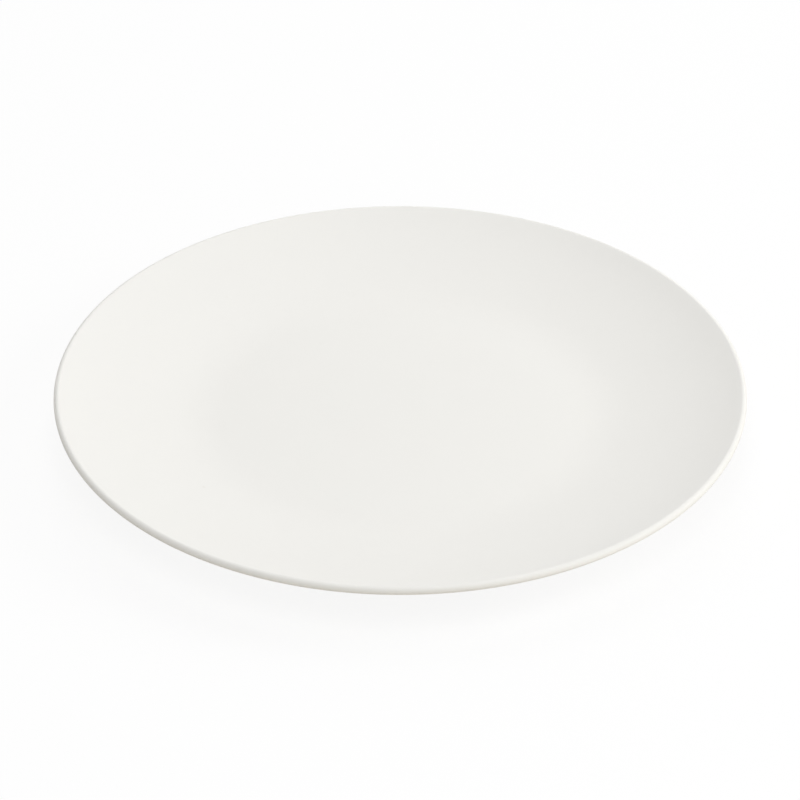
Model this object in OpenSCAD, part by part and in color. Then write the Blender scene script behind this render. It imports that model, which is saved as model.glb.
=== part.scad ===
// Shallow rimless plate for breakfast: a fired clay body under a satin white glaze.
// Every piece is turned about Z. The bare ring under the foot stands on z = 0.

/* [Plate] */
// Outside diameter over the lip
plate_d = 220; // [190:1:300]

/* [Well and wall] */
// Diameter of the flat well
well_d = 116; // [70:1:125]
// Thickness of the floor under the well, glaze included
floor_t = 4.6; // [3:0.1:8]
// Radius of the soft crease between the well and the wall
crease_r = 80; // [20:1:120]
// Slope of the wall where it leaves the crease, in degrees
wall_slope = 9.5; // [4:0.5:12]
// Slope of the wall where it starts to turn up towards the lip, in degrees
turn_slope = 15.5; // [13:0.5:19]
// Width of the band inside the lip over which the wall turns up
turn_w = 15; // [5:1:20]
// Slope of the wall where it meets the lip, in degrees
lip_slope = 23; // [20:0.5:32]

/* [Lip] */
// Thickness of the half-round lip, glaze included
lip_t = 2.6; // [2:0.1:5]

/* [Foot] */
// Outside diameter of the foot ring, glaze included
foot_d = 112; // [70:1:130]
// Width of the foot ring, glaze included
foot_w = 4.6; // [3.6:0.1:9]
// Depth of the recess inside the foot ring
recess_depth = 3.2; // [2.6:0.1:6]
// Height above the table at which the underside would meet the foot without its fillet
heel_h = 2.9; // [2.6:0.1:4.5]
// Radius of the fillets on both sides of the foot ring
fillet_r = 1.5; // [0.5:0.1:1.8]
// Radius on the two edges of the bare clay that stands on the table
edge_r = 0.8; // [0.2:0.1:1]

/* [Glaze] */
// Thickness of the glaze
glaze_t = 0.3; // [0.1:0.05:0.5]
// Height above the table up to which the foot is wiped bare
bare_h = 1.1; // [0.4:0.1:1.2]

/* [Hidden] */
$fn = 256;
clay_colour = [0.86, 0.83, 0.77];
glaze_colour = [0.94, 0.94, 0.92];
// Furthest that a chord may lie from the arc it stands for
arc_tol = 0.004;
// How far a cutting shape reaches past what it cuts
reach = 1;

// Direction from the centre of an arc to the point of it that has a given slope
function down(slope) = [sin(slope), -cos(slope)];

// Upper face: flat well, crease, wall, then a band in which the wall turns up to the lip
well_z = recess_depth + floor_t;
crease_c = [well_d / 2, well_z + crease_r];
crease_end = crease_c + crease_r * down(wall_slope);
lip_r = lip_t / 2;
wall_run = plate_d / 2 - lip_r - lip_r * sin(lip_slope) - turn_w - crease_end.x;
wall_r = wall_run / (sin(turn_slope) - sin(wall_slope));
wall_c = crease_end - wall_r * down(wall_slope);
wall_end = wall_c + wall_r * down(turn_slope);
turn_r = turn_w / (sin(lip_slope) - sin(turn_slope));
turn_c = wall_end - turn_r * down(turn_slope);
lip_c = turn_c + (turn_r + lip_r) * down(lip_slope);

// Underside: one arc that leaves the lip smoothly and heads for the heel of the foot
foot_r = foot_d / 2;
foot_in_r = foot_r - foot_w;
foot_mid_r = foot_r - foot_w / 2;
lip_end = lip_c + lip_r * down(lip_slope);
heel_chord = [foot_r, heel_h] - lip_end;
under_r = -heel_chord * heel_chord / (2 * heel_chord * down(lip_slope));
under_c = lip_end - under_r * down(lip_slope);

// Fillets beside the foot: outside against the underside's arc, inside against the flat recess
fillet_out_x = foot_r + fillet_r;
heel_slope = asin((fillet_out_x - under_c.x) / (under_r + fillet_r));
fillet_out_c = under_c + (under_r + fillet_r) * down(heel_slope);
fillet_in_c = [foot_in_r - fillet_r, recess_depth - fillet_r];

// Points of an arc between two angles. An inset moves them by its amount along the radius and keeps their
// number, so the glazed outline and the clay outline run side by side.
function arc(centre, radius, inset, from, to) =
    let (steps = ceil(abs(to - from) / (2 * acos(1 - arc_tol / radius))))
    [for (k = [0 : steps])
        let (angle = from + (to - from) * k / steps)
        centre + (radius + inset) * [cos(angle), sin(angle)]];

// Half section of the plate, from the axis out along the upper face and back along the underside.
// The inset is how far the outline lies inside the glaze. The standing face has no glaze and stays at z = 0.
function outline(inset) = concat(
    [[0, well_z - inset]],
    arc(crease_c, crease_r, inset, -90, wall_slope - 90),
    arc(wall_c, wall_r, inset, wall_slope - 90, turn_slope - 90),
    arc(turn_c, turn_r, inset, turn_slope - 90, lip_slope - 90),
    arc(lip_c, lip_r, -inset, lip_slope + 90, lip_slope - 90),
    arc(under_c, under_r, -inset, lip_slope - 90, heel_slope - 90),
    arc(fillet_out_c, fillet_r, inset, heel_slope + 90, 180),
    arc([foot_r - inset - edge_r, edge_r], edge_r, 0, 0, -90),
    arc([foot_in_r + inset + edge_r, edge_r], edge_r, 0, -90, -180),
    arc(fillet_in_c, fillet_r, inset, 0, 90),
    [[0, recess_depth + inset]]
);

// Half section of both glaze films, which stop at the wiped part of the foot
module glaze_section() {
    difference() {
        polygon(outline(0));
        polygon(outline(glaze_t));
        translate([foot_in_r - reach, -reach]) square([foot_w + 2 * reach, bare_h + reach]);
    }
}

// Everything inside the middle of the foot ring, up to the middle of the floor
module recess_side() {
    translate([0, -reach]) square([foot_mid_r, reach + recess_depth + floor_t / 2]);
}

// Fired clay: floor, wall, lip and foot ring in one piece
module clay_body() {
    color(clay_colour) rotate_extrude() polygon(outline(glaze_t));
}

// Glaze over the well, the wall, the lip and the underside, down the outside of the foot
module plate_glaze() {
    color(glaze_colour) rotate_extrude() difference() {
        glaze_section();
        recess_side();
    }
}

// Glaze on the recess, down the inside of the foot
module recess_glaze() {
    color(glaze_colour) rotate_extrude() intersection() {
        glaze_section();
        recess_side();
    }
}

clay_body();
plate_glaze();
recess_glaze();
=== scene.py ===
import math

import bpy
import numpy as np
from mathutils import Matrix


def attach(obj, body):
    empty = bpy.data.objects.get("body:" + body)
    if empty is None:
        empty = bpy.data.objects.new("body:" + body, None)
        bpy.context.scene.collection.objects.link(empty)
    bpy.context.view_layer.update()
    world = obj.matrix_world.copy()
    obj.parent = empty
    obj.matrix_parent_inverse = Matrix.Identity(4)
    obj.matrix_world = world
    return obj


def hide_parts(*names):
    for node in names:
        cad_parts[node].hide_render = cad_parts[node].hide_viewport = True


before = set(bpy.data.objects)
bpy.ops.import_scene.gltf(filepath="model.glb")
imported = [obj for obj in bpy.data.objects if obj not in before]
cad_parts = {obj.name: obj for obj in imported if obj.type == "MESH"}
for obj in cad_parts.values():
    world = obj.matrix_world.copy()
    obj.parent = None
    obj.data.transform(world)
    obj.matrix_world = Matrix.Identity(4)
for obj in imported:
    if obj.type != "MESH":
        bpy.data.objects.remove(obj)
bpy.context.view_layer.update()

# Sizes of the plate in millimetres, and its slopes, the same as in the part's source
PLATE_D = 220.0
WELL_D = 116.0
FLOOR_T = 4.6
CREASE_R = 80.0
WALL_SLOPE = math.radians(9.5)
TURN_SLOPE = math.radians(15.5)
TURN_W = 15.0
LIP_SLOPE = math.radians(23.0)
LIP_R = 1.3
FOOT_D = 112.0
FOOT_W = 4.6
RECESS_DEPTH = 3.2
HEEL_H = 2.9
FILLET_R = 1.5
EDGE_R = 0.8
GLAZE_T = 0.3
BARE_H = 1.1

MM = 0.001
RIGHT_ANGLE = math.pi / 2

# How finely the pieces are meshed: steps round the axis, along the lip's half round and across a flat
TURN_STEPS = 320
LIP_STEPS = 32
FLAT_RINGS = 12

# The low edge of a film wanders up and down by so many mm times a sum of waves. Each wave has a count
# in a turn, an angle at which it starts and a share.
FILM_WANDER = 0.06
EDGE_WAVES = ((3, 0.7, 1.0), (7, 2.1, 0.7), (16, 4.4, 0.5))


def down(slope):
    """Direction from the centre of an arc to its point of that slope, as (r, z)."""
    return np.array([math.sin(slope), -math.cos(slope)])


# Upper face of the half section: flat well, crease, wall, then a band in which the wall turns up to the lip
WELL_Z = RECESS_DEPTH + FLOOR_T
CREASE_C = np.array([WELL_D / 2, WELL_Z + CREASE_R])
CREASE_END = CREASE_C + CREASE_R * down(WALL_SLOPE)
WALL_RUN = PLATE_D / 2 - LIP_R * (1 + math.sin(LIP_SLOPE)) - TURN_W - CREASE_END[0]
WALL_R = WALL_RUN / (math.sin(TURN_SLOPE) - math.sin(WALL_SLOPE))
WALL_C = CREASE_END - WALL_R * down(WALL_SLOPE)
TURN_R = TURN_W / (math.sin(LIP_SLOPE) - math.sin(TURN_SLOPE))
TURN_C = WALL_C + (WALL_R - TURN_R) * down(TURN_SLOPE)
LIP_C = TURN_C + (TURN_R + LIP_R) * down(LIP_SLOPE)

# Underside and foot of the half section: one arc from the lip to the heel, and a fillet on both sides
# of the foot
LIP_END = LIP_C + LIP_R * down(LIP_SLOPE)
FOOT_R = FOOT_D / 2
FOOT_IN_R = FOOT_R - FOOT_W
HEEL_CHORD = np.array([FOOT_R, HEEL_H]) - LIP_END
UNDER_R = -(HEEL_CHORD @ HEEL_CHORD) / (2 * HEEL_CHORD @ down(LIP_SLOPE))
UNDER_C = LIP_END - UNDER_R * down(LIP_SLOPE)
HEEL_SLOPE = math.asin((FOOT_R + FILLET_R - UNDER_C[0]) / (UNDER_R + FILLET_R))
FILLET_OUT_C = UNDER_C + (UNDER_R + FILLET_R) * down(HEEL_SLOPE)
FILLET_IN_C = np.array([FOOT_IN_R - FILLET_R, RECESS_DEPTH - FILLET_R])


def arc(centre, radius, start, end, steps):
    """Points on a circle about centre, at even angles from start to just before end."""
    angle = np.linspace(start, end, steps, endpoint=False)
    return centre + radius * np.column_stack([np.cos(angle), np.sin(angle)])


def dip(centre, radius, start_slope, end_slope, steps):
    """Points along the bottom of a circle, at even angles between two slopes of its tangent."""
    return arc(centre, radius, start_slope - RIGHT_ANGLE, end_slope - RIGHT_ANGLE, steps)


def rung(r0, r1, z, steps):
    """Points at height z, at even radii from r0 to just before r1."""
    r = np.linspace(r0, r1, steps, endpoint=False)
    return np.column_stack([r, np.full(steps, z)])


def upper_path(inset, fine):
    """Half section from the axis over well, crease, wall and lip and back under to the foot's outer side.

    The clay's path lies the glaze's thickness inside the glazed one: arcs that are hollow towards the
    outside grow by the inset and the others shrink by it. fine is how many steps the lip's half round has.
    """
    coarse = fine // 2
    return np.vstack([
        rung(0, WELL_D / 2, WELL_Z - inset, FLAT_RINGS),
        dip(CREASE_C, CREASE_R + inset, 0, WALL_SLOPE, coarse),
        dip(WALL_C, WALL_R + inset, WALL_SLOPE, TURN_SLOPE, coarse),
        dip(TURN_C, TURN_R + inset, TURN_SLOPE, LIP_SLOPE, coarse),
        arc(LIP_C, LIP_R - inset, LIP_SLOPE + RIGHT_ANGLE, LIP_SLOPE - RIGHT_ANGLE, fine),
        dip(UNDER_C, UNDER_R - inset, LIP_SLOPE, HEEL_SLOPE, fine),
        arc(FILLET_OUT_C, FILLET_R + inset, HEEL_SLOPE + RIGHT_ANGLE, math.pi, coarse),
    ])


def recess_path(inset, fine):
    """Half section from the foot's inner side up its fillet and along the recess to the axis."""
    flat = rung(0, FILLET_IN_C[0], RECESS_DEPTH + inset, FLAT_RINGS)
    return np.vstack([
        arc(FILLET_IN_C, FILLET_R + inset, 0, RIGHT_ANGLE, fine // 2),
        [[FILLET_IN_C[0], RECESS_DEPTH + inset]],
        flat[::-1],
    ])


def film_edge(r_from, r_to, fine):
    """Rounded lower edge of a glaze film on the foot: a half circle from one face of it to the other."""
    centre = np.array([(r_from + r_to) / 2, BARE_H + GLAZE_T / 2])
    start, end = (0, -math.pi) if r_from > r_to else (-math.pi, 0)
    points = arc(centre, GLAZE_T / 2, start, end, fine // 4)
    return np.vstack([points, [[r_to, centre[1]]]])


def plate_film(fine):
    """Closed half section of the main glaze film.

    It runs from the axis out over the plate, round the film's edge at the foot and back along the clay.
    """
    edge = film_edge(FOOT_R, FOOT_R - GLAZE_T, fine)
    return np.vstack([upper_path(0, fine), edge, upper_path(GLAZE_T, fine // 2)[::-1]])


def recess_film(fine):
    """Closed half section of the glaze in the recess.

    It runs from the axis along the clay, round the film's edge at the foot and back along the recess.
    """
    edge = film_edge(FOOT_IN_R + GLAZE_T, FOOT_IN_R, fine)
    return np.vstack([recess_path(GLAZE_T, fine // 2)[::-1], edge, recess_path(0, fine)])


def clay_section(fine):
    """Closed half section of the clay: its upper path, the rounded standing ring, and the recess."""
    outer, inner = FOOT_R - GLAZE_T, FOOT_IN_R + GLAZE_T
    ring = rung(outer - EDGE_R, inner + EDGE_R, 0, fine // 8)
    return np.vstack([
        upper_path(GLAZE_T, fine),
        arc([outer - EDGE_R, EDGE_R], EDGE_R, 0, -RIGHT_ANGLE, fine // 4),
        ring,
        arc([inner + EDGE_R, EDGE_R], EDGE_R, -RIGHT_ANGLE, -math.pi, fine // 4),
        recess_path(GLAZE_T, fine),
    ])


def solid(name, points, quads, triangles):
    """A smooth-shaded mesh object from whole arrays of points, four-sided faces and triangles."""
    mesh = bpy.data.meshes.new(name)
    corners = np.concatenate([quads.ravel(), triangles.ravel()])
    sides = np.concatenate([np.full(len(quads), 4), np.full(len(triangles), 3)])
    mesh.vertices.add(len(points))
    mesh.vertices.foreach_set("co", points.ravel())
    mesh.loops.add(len(corners))
    mesh.loops.foreach_set("vertex_index", corners)
    mesh.polygons.add(len(sides))
    mesh.polygons.foreach_set("loop_start", np.concatenate([[0], np.cumsum(sides)[:-1]]))
    mesh.polygons.foreach_set("use_smooth", np.ones(len(sides), bool))
    mesh.update(calc_edges=True)
    piece = bpy.data.objects.new(name, mesh)
    bpy.context.scene.collection.objects.link(piece)
    return piece


def turned(name, section, wander=0.0):
    """A piece turned about Z: each point (r, z) of its section becomes a ring, and its ends lie on the axis.

    wander lifts and lowers the low edge of a film along the foot by a sum of slow waves of the angle, in
    mm. It fades out half a fillet's radius above the bare part of the foot.
    """
    theta = np.arange(TURN_STEPS) * (2 * math.pi / TURN_STEPS)
    rings = section[1:-1]
    r, z = rings[:, :1], rings[:, 1:]
    fade = FILLET_R / 2
    low = np.clip((BARE_H + fade - z) / fade, 0, 1)
    wave = sum(share * np.sin(count * theta + start) for count, start, share in EDGE_WAVES)
    height = z + wander * low * wave
    ring_points = np.stack(np.broadcast_arrays(r * np.cos(theta), r * np.sin(theta), height), axis=-1)
    ends = np.array([[0, 0, section[0, 1]], [0, 0, section[-1, 1]]])
    points = np.vstack([ring_points.reshape(-1, 3), ends]) * MM

    here = np.arange(len(rings) * TURN_STEPS).reshape(len(rings), TURN_STEPS)
    beside = np.roll(here, -1, axis=1)
    quads = np.stack([here[:-1], here[1:], beside[1:], beside[:-1]], axis=-1).reshape(-1, 4)
    first, last = here.size, here.size + 1
    fans = np.vstack([
        np.column_stack([np.full(TURN_STEPS, first), here[0], beside[0]]),
        np.column_stack([np.full(TURN_STEPS, last), beside[-1], here[-1]]),
    ])
    return solid(name, points, quads, fans)


# Node helpers

def node(tree, kind, **settings):
    """A new node with its properties set."""
    made = tree.nodes.new(kind)
    for key, value in settings.items():
        setattr(made, key, value)
    return made


def put(tree, socket, value):
    """Links a socket to an input, or sets the input to a plain value."""
    if isinstance(value, bpy.types.NodeSocket):
        tree.links.new(value, socket)
    else:
        socket.default_value = value


def fill(tree, made, **inputs):
    """Sets a node's inputs by name, with _ for a space."""
    for key, value in inputs.items():
        put(tree, made.inputs[key.replace("_", " ")], value)
    return made


def math_of(tree, operation, *values, use_clamp=False):
    """The result of a Math node on the given sockets or numbers."""
    made = node(tree, "ShaderNodeMath", operation=operation, use_clamp=use_clamp)
    for socket, value in zip(made.inputs, values):
        put(tree, socket, value)
    return made.outputs[0]


def ranged(tree, value, low, high):
    """A value between 0 and 1 carried over to the range from low to high."""
    scale = node(tree, "ShaderNodeMapRange")
    return fill(tree, scale, Value=value, To_Min=low, To_Max=high).outputs["Result"]


def fading(tree, value, gone, full):
    """1 where the value is full, 0 where it is gone, and a smooth step between."""
    step = node(tree, "ShaderNodeMapRange", interpolation_type="SMOOTHSTEP")
    return fill(tree, step, Value=value, From_Min=gone, From_Max=full).outputs["Result"]


def blend_colour(tree, factor, first, second):
    """Mixes two colours by a factor."""
    mix = node(tree, "ShaderNodeMix", data_type="RGBA")
    for socket, value in zip((mix.inputs[0], mix.inputs[6], mix.inputs[7]), (factor, first, second)):
        put(tree, socket, value)
    return mix.outputs[2]


def laid_over(tree, base, mask, shows, colour):
    """A base colour with another one over it, which shows by that share where the mask is 1."""
    return blend_colour(tree, math_of(tree, "MULTIPLY", mask, shows), base, colour)


def raised(tree, shader, height, strength, depth):
    """Bumps the shader's surface by a height from 0 to 1, where 1 stands for that depth in mm."""
    bump = fill(tree, node(tree, "ShaderNodeBump"), Height=height, Strength=strength, Distance=depth * MM)
    tree.links.new(bump.outputs["Normal"], shader.inputs["Normal"])


def group(name, inputs, output):
    """An empty shader node group with named number inputs, a Vector input and one number output."""
    tree = bpy.data.node_groups.new(name, "ShaderNodeTree")
    tree.interface.new_socket("Vector", in_out="INPUT", socket_type="NodeSocketVector")
    for label, value in inputs.items():
        socket = tree.interface.new_socket(label, in_out="INPUT", socket_type="NodeSocketFloat")
        socket.default_value = value
    tree.interface.new_socket(output, in_out="OUTPUT", socket_type="NodeSocketFloat")
    return tree, tree.nodes.new("NodeGroupInput").outputs, tree.nodes.new("NodeGroupOutput").inputs[0]


def cloud_group():
    """Soft uneven patches of a size in mm: noise of a few octaves, spread about a half by the contrast."""
    tree, given, result = group("fired_clouds", {"Size": 20.0, "Contrast": 1.0}, "Value")
    per_metre = math_of(tree, "DIVIDE", 1 / MM, given["Size"])
    noise = fill(tree, node(tree, "ShaderNodeTexNoise"), Vector=given["Vector"], Scale=per_metre,
                 Detail=3.0, Roughness=0.5)
    centred = math_of(tree, "SUBTRACT", noise.outputs["Fac"], 0.5)
    spread = math_of(tree, "MULTIPLY_ADD", centred, given["Contrast"], 0.5, use_clamp=True)
    tree.links.new(spread, result)
    return tree


def speck_group():
    """Scattered round specks: cells of a size in mm, a share of which hold a speck with a soft edge."""
    tree, given, result = group("fired_specks", {"Cell": 10.0, "Share": 0.3, "Width": 0.1}, "Mask")
    per_metre = math_of(tree, "DIVIDE", 1 / MM, given["Cell"])
    cells = fill(tree, node(tree, "ShaderNodeTexVoronoi"), Vector=given["Vector"], Scale=per_metre,
                 Randomness=1.0)
    dot = fading(tree, cells.outputs["Distance"], given["Width"], 0.0)
    chance = fill(tree, node(tree, "ShaderNodeSeparateColor"), Color=cells.outputs["Color"])
    chosen = math_of(tree, "LESS_THAN", chance.outputs[0], given["Share"])
    tree.links.new(math_of(tree, "MULTIPLY", dot, chosen), result)
    return tree


CLOUDS = cloud_group()
SPECKS = speck_group()


def finish_tree(name):
    """A new material with a Principled shader: its tree, the shader and Object coordinates."""
    material = bpy.data.materials.new(name)
    material.use_nodes = True
    tree = material.node_tree
    shader = tree.nodes["Principled BSDF"]
    place = node(tree, "ShaderNodeTexCoord").outputs["Object"]
    return material, tree, shader, place


def placed(tree, kind, **inputs):
    """A node group placed in a material with its own values."""
    return fill(tree, node(tree, "ShaderNodeGroup", node_tree=kind), **inputs).outputs[0]


# Glaze: two close whites and how much of their blend is fine mottle, the specks in it, and the clay that
# shows through the band above its low edge, where it is thin
GLAZE_DEEP = (0.862, 0.8535, 0.822, 1)
GLAZE_PALE = (0.874, 0.8635, 0.828, 1)
MOTTLE_SHARE = 0.4
SPECK_BROWN = (0.55, 0.48, 0.38, 1)
SPECK_SHOWS = 0.16
THIN_GLAZE = (0.76, 0.72, 0.64, 1)
THIN_BAND = 0.9
THIN_SHOWS = 0.6

# The glaze's satin sheen, from its smoothest to its roughest, and how deep its orange peel is in mm
GLAZE_ROUGHNESS = (0.6, 0.7)
GLAZE_IOR = 1.45
PEEL_STRENGTH = 0.5
PEEL_DEPTH = 0.04

# A faint speck that shows on the front left of the wall: where it lies as (x, y) and its radius, in mm
PIN_SPECK = (-60.6, -45.2)
PIN_SPECK_R = 0.8


def pin_speck(tree, place):
    """Mask of the one speck that shows: a soft dot on the wall's arc at its place."""
    r = math.hypot(*PIN_SPECK)
    z = WALL_C[1] - math.sqrt(WALL_R ** 2 - (r - WALL_C[0]) ** 2)
    away = node(tree, "ShaderNodeVectorMath", operation="DISTANCE")
    put(tree, away.inputs[0], place)
    put(tree, away.inputs[1], [PIN_SPECK[0] * MM, PIN_SPECK[1] * MM, z * MM])
    return fading(tree, away.outputs["Value"], PIN_SPECK_R * MM, 0.0)


def satin_glaze():
    """Satin white glaze: clouds and mottle, few specks, uneven sheen, orange peel and a thin low edge."""
    material, tree, shader, place = finish_tree("satin_white_glaze")
    slow = placed(tree, CLOUDS, Vector=place, Size=38.0, Contrast=1.6)
    fine = placed(tree, CLOUDS, Vector=place, Size=2.6, Contrast=1.6)
    most = math_of(tree, "MULTIPLY", slow, 1 - MOTTLE_SHARE)
    tone = math_of(tree, "MULTIPLY_ADD", fine, MOTTLE_SHARE, most)
    white = blend_colour(tree, tone, GLAZE_DEEP, GLAZE_PALE)
    scattered = placed(tree, SPECKS, Vector=place, Cell=30.0, Share=0.2, Width=0.02)
    speck = math_of(tree, "MAXIMUM", scattered, pin_speck(tree, place))
    speckled = laid_over(tree, white, speck, SPECK_SHOWS, SPECK_BROWN)
    height = fill(tree, node(tree, "ShaderNodeSeparateXYZ"), Vector=place).outputs["Z"]
    thin = fading(tree, height, (BARE_H + THIN_BAND) * MM, BARE_H * MM)
    tree.links.new(laid_over(tree, speckled, thin, THIN_SHOWS, THIN_GLAZE), shader.inputs["Base Color"])

    sheen = placed(tree, CLOUDS, Vector=place, Size=9.0, Contrast=1.2)
    tree.links.new(ranged(tree, sheen, *GLAZE_ROUGHNESS), shader.inputs["Roughness"])
    peel = placed(tree, CLOUDS, Vector=place, Size=1.8, Contrast=1.0)
    raised(tree, shader, peel, PEEL_STRENGTH, PEEL_DEPTH)
    shader.inputs["IOR"].default_value = GLAZE_IOR
    return material


# Clay: two close off-whites, the dark grains in it, how dry it looks and how deep its grit is in mm
CLAY_DEEP = (0.66, 0.60, 0.50, 1)
CLAY_PALE = (0.74, 0.69, 0.60, 1)
GRAIN_BROWN = (0.36, 0.28, 0.20, 1)
GRAIN_SHOWS = 0.55
CLAY_ROUGHNESS = (0.78, 0.95)
GRIT_STRENGTH = 0.6
GRIT_DEPTH = 0.04


def bare_clay():
    """Bare fired clay: warm off-white with darker grains, a dry surface and a fine grit."""
    material, tree, shader, place = finish_tree("bare_fired_clay")
    tone = placed(tree, CLOUDS, Vector=place, Size=4.0, Contrast=2.2)
    body = blend_colour(tree, tone, CLAY_DEEP, CLAY_PALE)
    grain = placed(tree, SPECKS, Vector=place, Cell=1.3, Share=0.35, Width=0.22)
    tree.links.new(laid_over(tree, body, grain, GRAIN_SHOWS, GRAIN_BROWN), shader.inputs["Base Color"])

    dry = placed(tree, CLOUDS, Vector=place, Size=1.5, Contrast=1.5)
    tree.links.new(ranged(tree, dry, *CLAY_ROUGHNESS), shader.inputs["Roughness"])
    grit = placed(tree, CLOUDS, Vector=place, Size=0.35, Contrast=2.0)
    raised(tree, shader, grit, GRIT_STRENGTH, GRIT_DEPTH)
    return material


def finished(piece, material, replaced):
    """Gives a piece its material, stands it in for its CAD node and lets it ride on the plate."""
    piece.data.materials.append(material)
    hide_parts(replaced)
    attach(piece, "root")


GLAZE = satin_glaze()
finished(turned("glaze_coat", plate_film(LIP_STEPS), FILM_WANDER), GLAZE, "plate_glaze")
finished(turned("recess_coat", recess_film(LIP_STEPS), FILM_WANDER), GLAZE, "recess_glaze")
finished(turned("fired_body", clay_section(LIP_STEPS)), bare_clay(), "clay_body")


# Studio: sizes in metres, angles in degrees, power in watts

WHITE = (1, 1, 1, 1)
WORLD_LIGHT = 0.2

FLOOR_PAINT = (0.82, 0.78, 0.70, 1)
FLOOR_REACH = 4.0
FLOOR_GAP = 0.03 * MM
SHADOW_SHARE = 0.11

# Soft boxes: azimuth, where 0 is the right-hand side and 90 the back, then elevation, width and power
BOX_DISTANCE = 1.3
SOFT_BOXES = {
    "right": (0, 30, 0.7, 7.2),
    "low_front_right": (-50, 12, 0.5, 2.0),
    "front": (270, 60, 0.7, 5.6),
    "back": (90, 60, 0.7, 3.0),
    "low_back": (90, 30, 0.7, 2.5),
    "left": (180, 30, 0.7, 1.35),
}

CAMERA_DISTANCE = 1.06
CAMERA_AZIMUTH = -90
CAMERA_ELEVATION = 33.883
CAMERA_AIM = (-0.1 * MM, 0.0, 11.649 * MM)
LENS = 149.31
SENSOR_WIDTH = 36.0
NEAREST_SEEN = 0.01


def seen(tree):
    """1 for what the camera sees, directly, mirrored or through glass, and 0 for light on other things."""
    path = node(tree, "ShaderNodeLightPath").outputs
    mirrored = math_of(tree, "MAXIMUM", path["Is Camera Ray"], path["Is Glossy Ray"])
    return math_of(tree, "MAXIMUM", mirrored, path["Is Transmission Ray"])


def round_the_plate(distance, azimuth, elevation):
    """The point at a distance from the plate's origin in that direction."""
    a, e = math.radians(azimuth), math.radians(elevation)
    return np.array([math.cos(e) * math.cos(a), math.cos(e) * math.sin(a), math.sin(e)]) * distance


def looking_in(azimuth, elevation):
    """The turn of a light or camera that stands in that direction and looks at the plate."""
    return RIGHT_ANGLE - math.radians(elevation), 0, math.radians(azimuth) + RIGHT_ANGLE


def studio_world():
    """Even white light from all round, which is seen as plain white."""
    world = bpy.data.worlds.new("studio")
    world.use_nodes = True
    tree = world.node_tree
    fill(tree, tree.nodes["Background"], Color=WHITE, Strength=ranged(tree, seen(tree), WORLD_LIGHT, 1.0))
    bpy.context.scene.world = world


def studio_floor():
    """A pale warm floor a hair's breadth under the plate, seen as white with a share of the real shadow."""
    corners = np.array([[-1, -1], [1, -1], [1, 1], [-1, 1]]) * FLOOR_REACH
    points = np.column_stack([corners, np.full(len(corners), -FLOOR_GAP)])
    floor = solid("studio_floor", points, np.array([[0, 1, 2, 3]]), np.zeros((0, 3), int))
    material = bpy.data.materials.new("floor_white")
    material.use_nodes = True
    tree = material.node_tree
    tree.nodes.remove(tree.nodes["Principled BSDF"])
    shown = seen(tree)
    colour = blend_colour(tree, shown, FLOOR_PAINT, WHITE)
    paint = fill(tree, node(tree, "ShaderNodeBsdfDiffuse"), Color=colour)
    white = fill(tree, node(tree, "ShaderNodeEmission"), Color=WHITE, Strength=1.0)
    mix = node(tree, "ShaderNodeMixShader")
    put(tree, mix.inputs[0], math_of(tree, "MULTIPLY", shown, 1 - SHADOW_SHARE))
    put(tree, mix.inputs[1], paint.outputs[0])
    put(tree, mix.inputs[2], white.outputs[0])
    put(tree, tree.nodes["Material Output"].inputs["Surface"], mix.outputs[0])
    floor.data.materials.append(material)


def soft_box(name, azimuth, elevation, width, power):
    """A round soft light aimed at the plate."""
    light = bpy.data.lights.new(name, "AREA")
    light.shape = "DISK"
    light.size = width
    light.energy = power
    lamp = bpy.data.objects.new(name, light)
    lamp.location = round_the_plate(BOX_DISTANCE, azimuth, elevation)
    lamp.rotation_euler = looking_in(azimuth, elevation)
    bpy.context.scene.collection.objects.link(lamp)


def studio_camera():
    """A camera in front of the plate, looking down on it at the photograph's angle."""
    camera = bpy.data.cameras.new("camera")
    camera.lens = LENS
    camera.sensor_width = SENSOR_WIDTH
    camera.clip_start = NEAREST_SEEN
    holder = bpy.data.objects.new("camera", camera)
    holder.location = round_the_plate(CAMERA_DISTANCE, CAMERA_AZIMUTH, CAMERA_ELEVATION) + CAMERA_AIM
    holder.rotation_euler = looking_in(CAMERA_AZIMUTH, CAMERA_ELEVATION)
    bpy.context.scene.collection.objects.link(holder)
    bpy.context.scene.camera = holder


studio_world()
studio_floor()
for box_name, box in SOFT_BOXES.items():
    soft_box(box_name, *box)
studio_camera()
bpy.context.scene.view_settings.view_transform = "Standard"
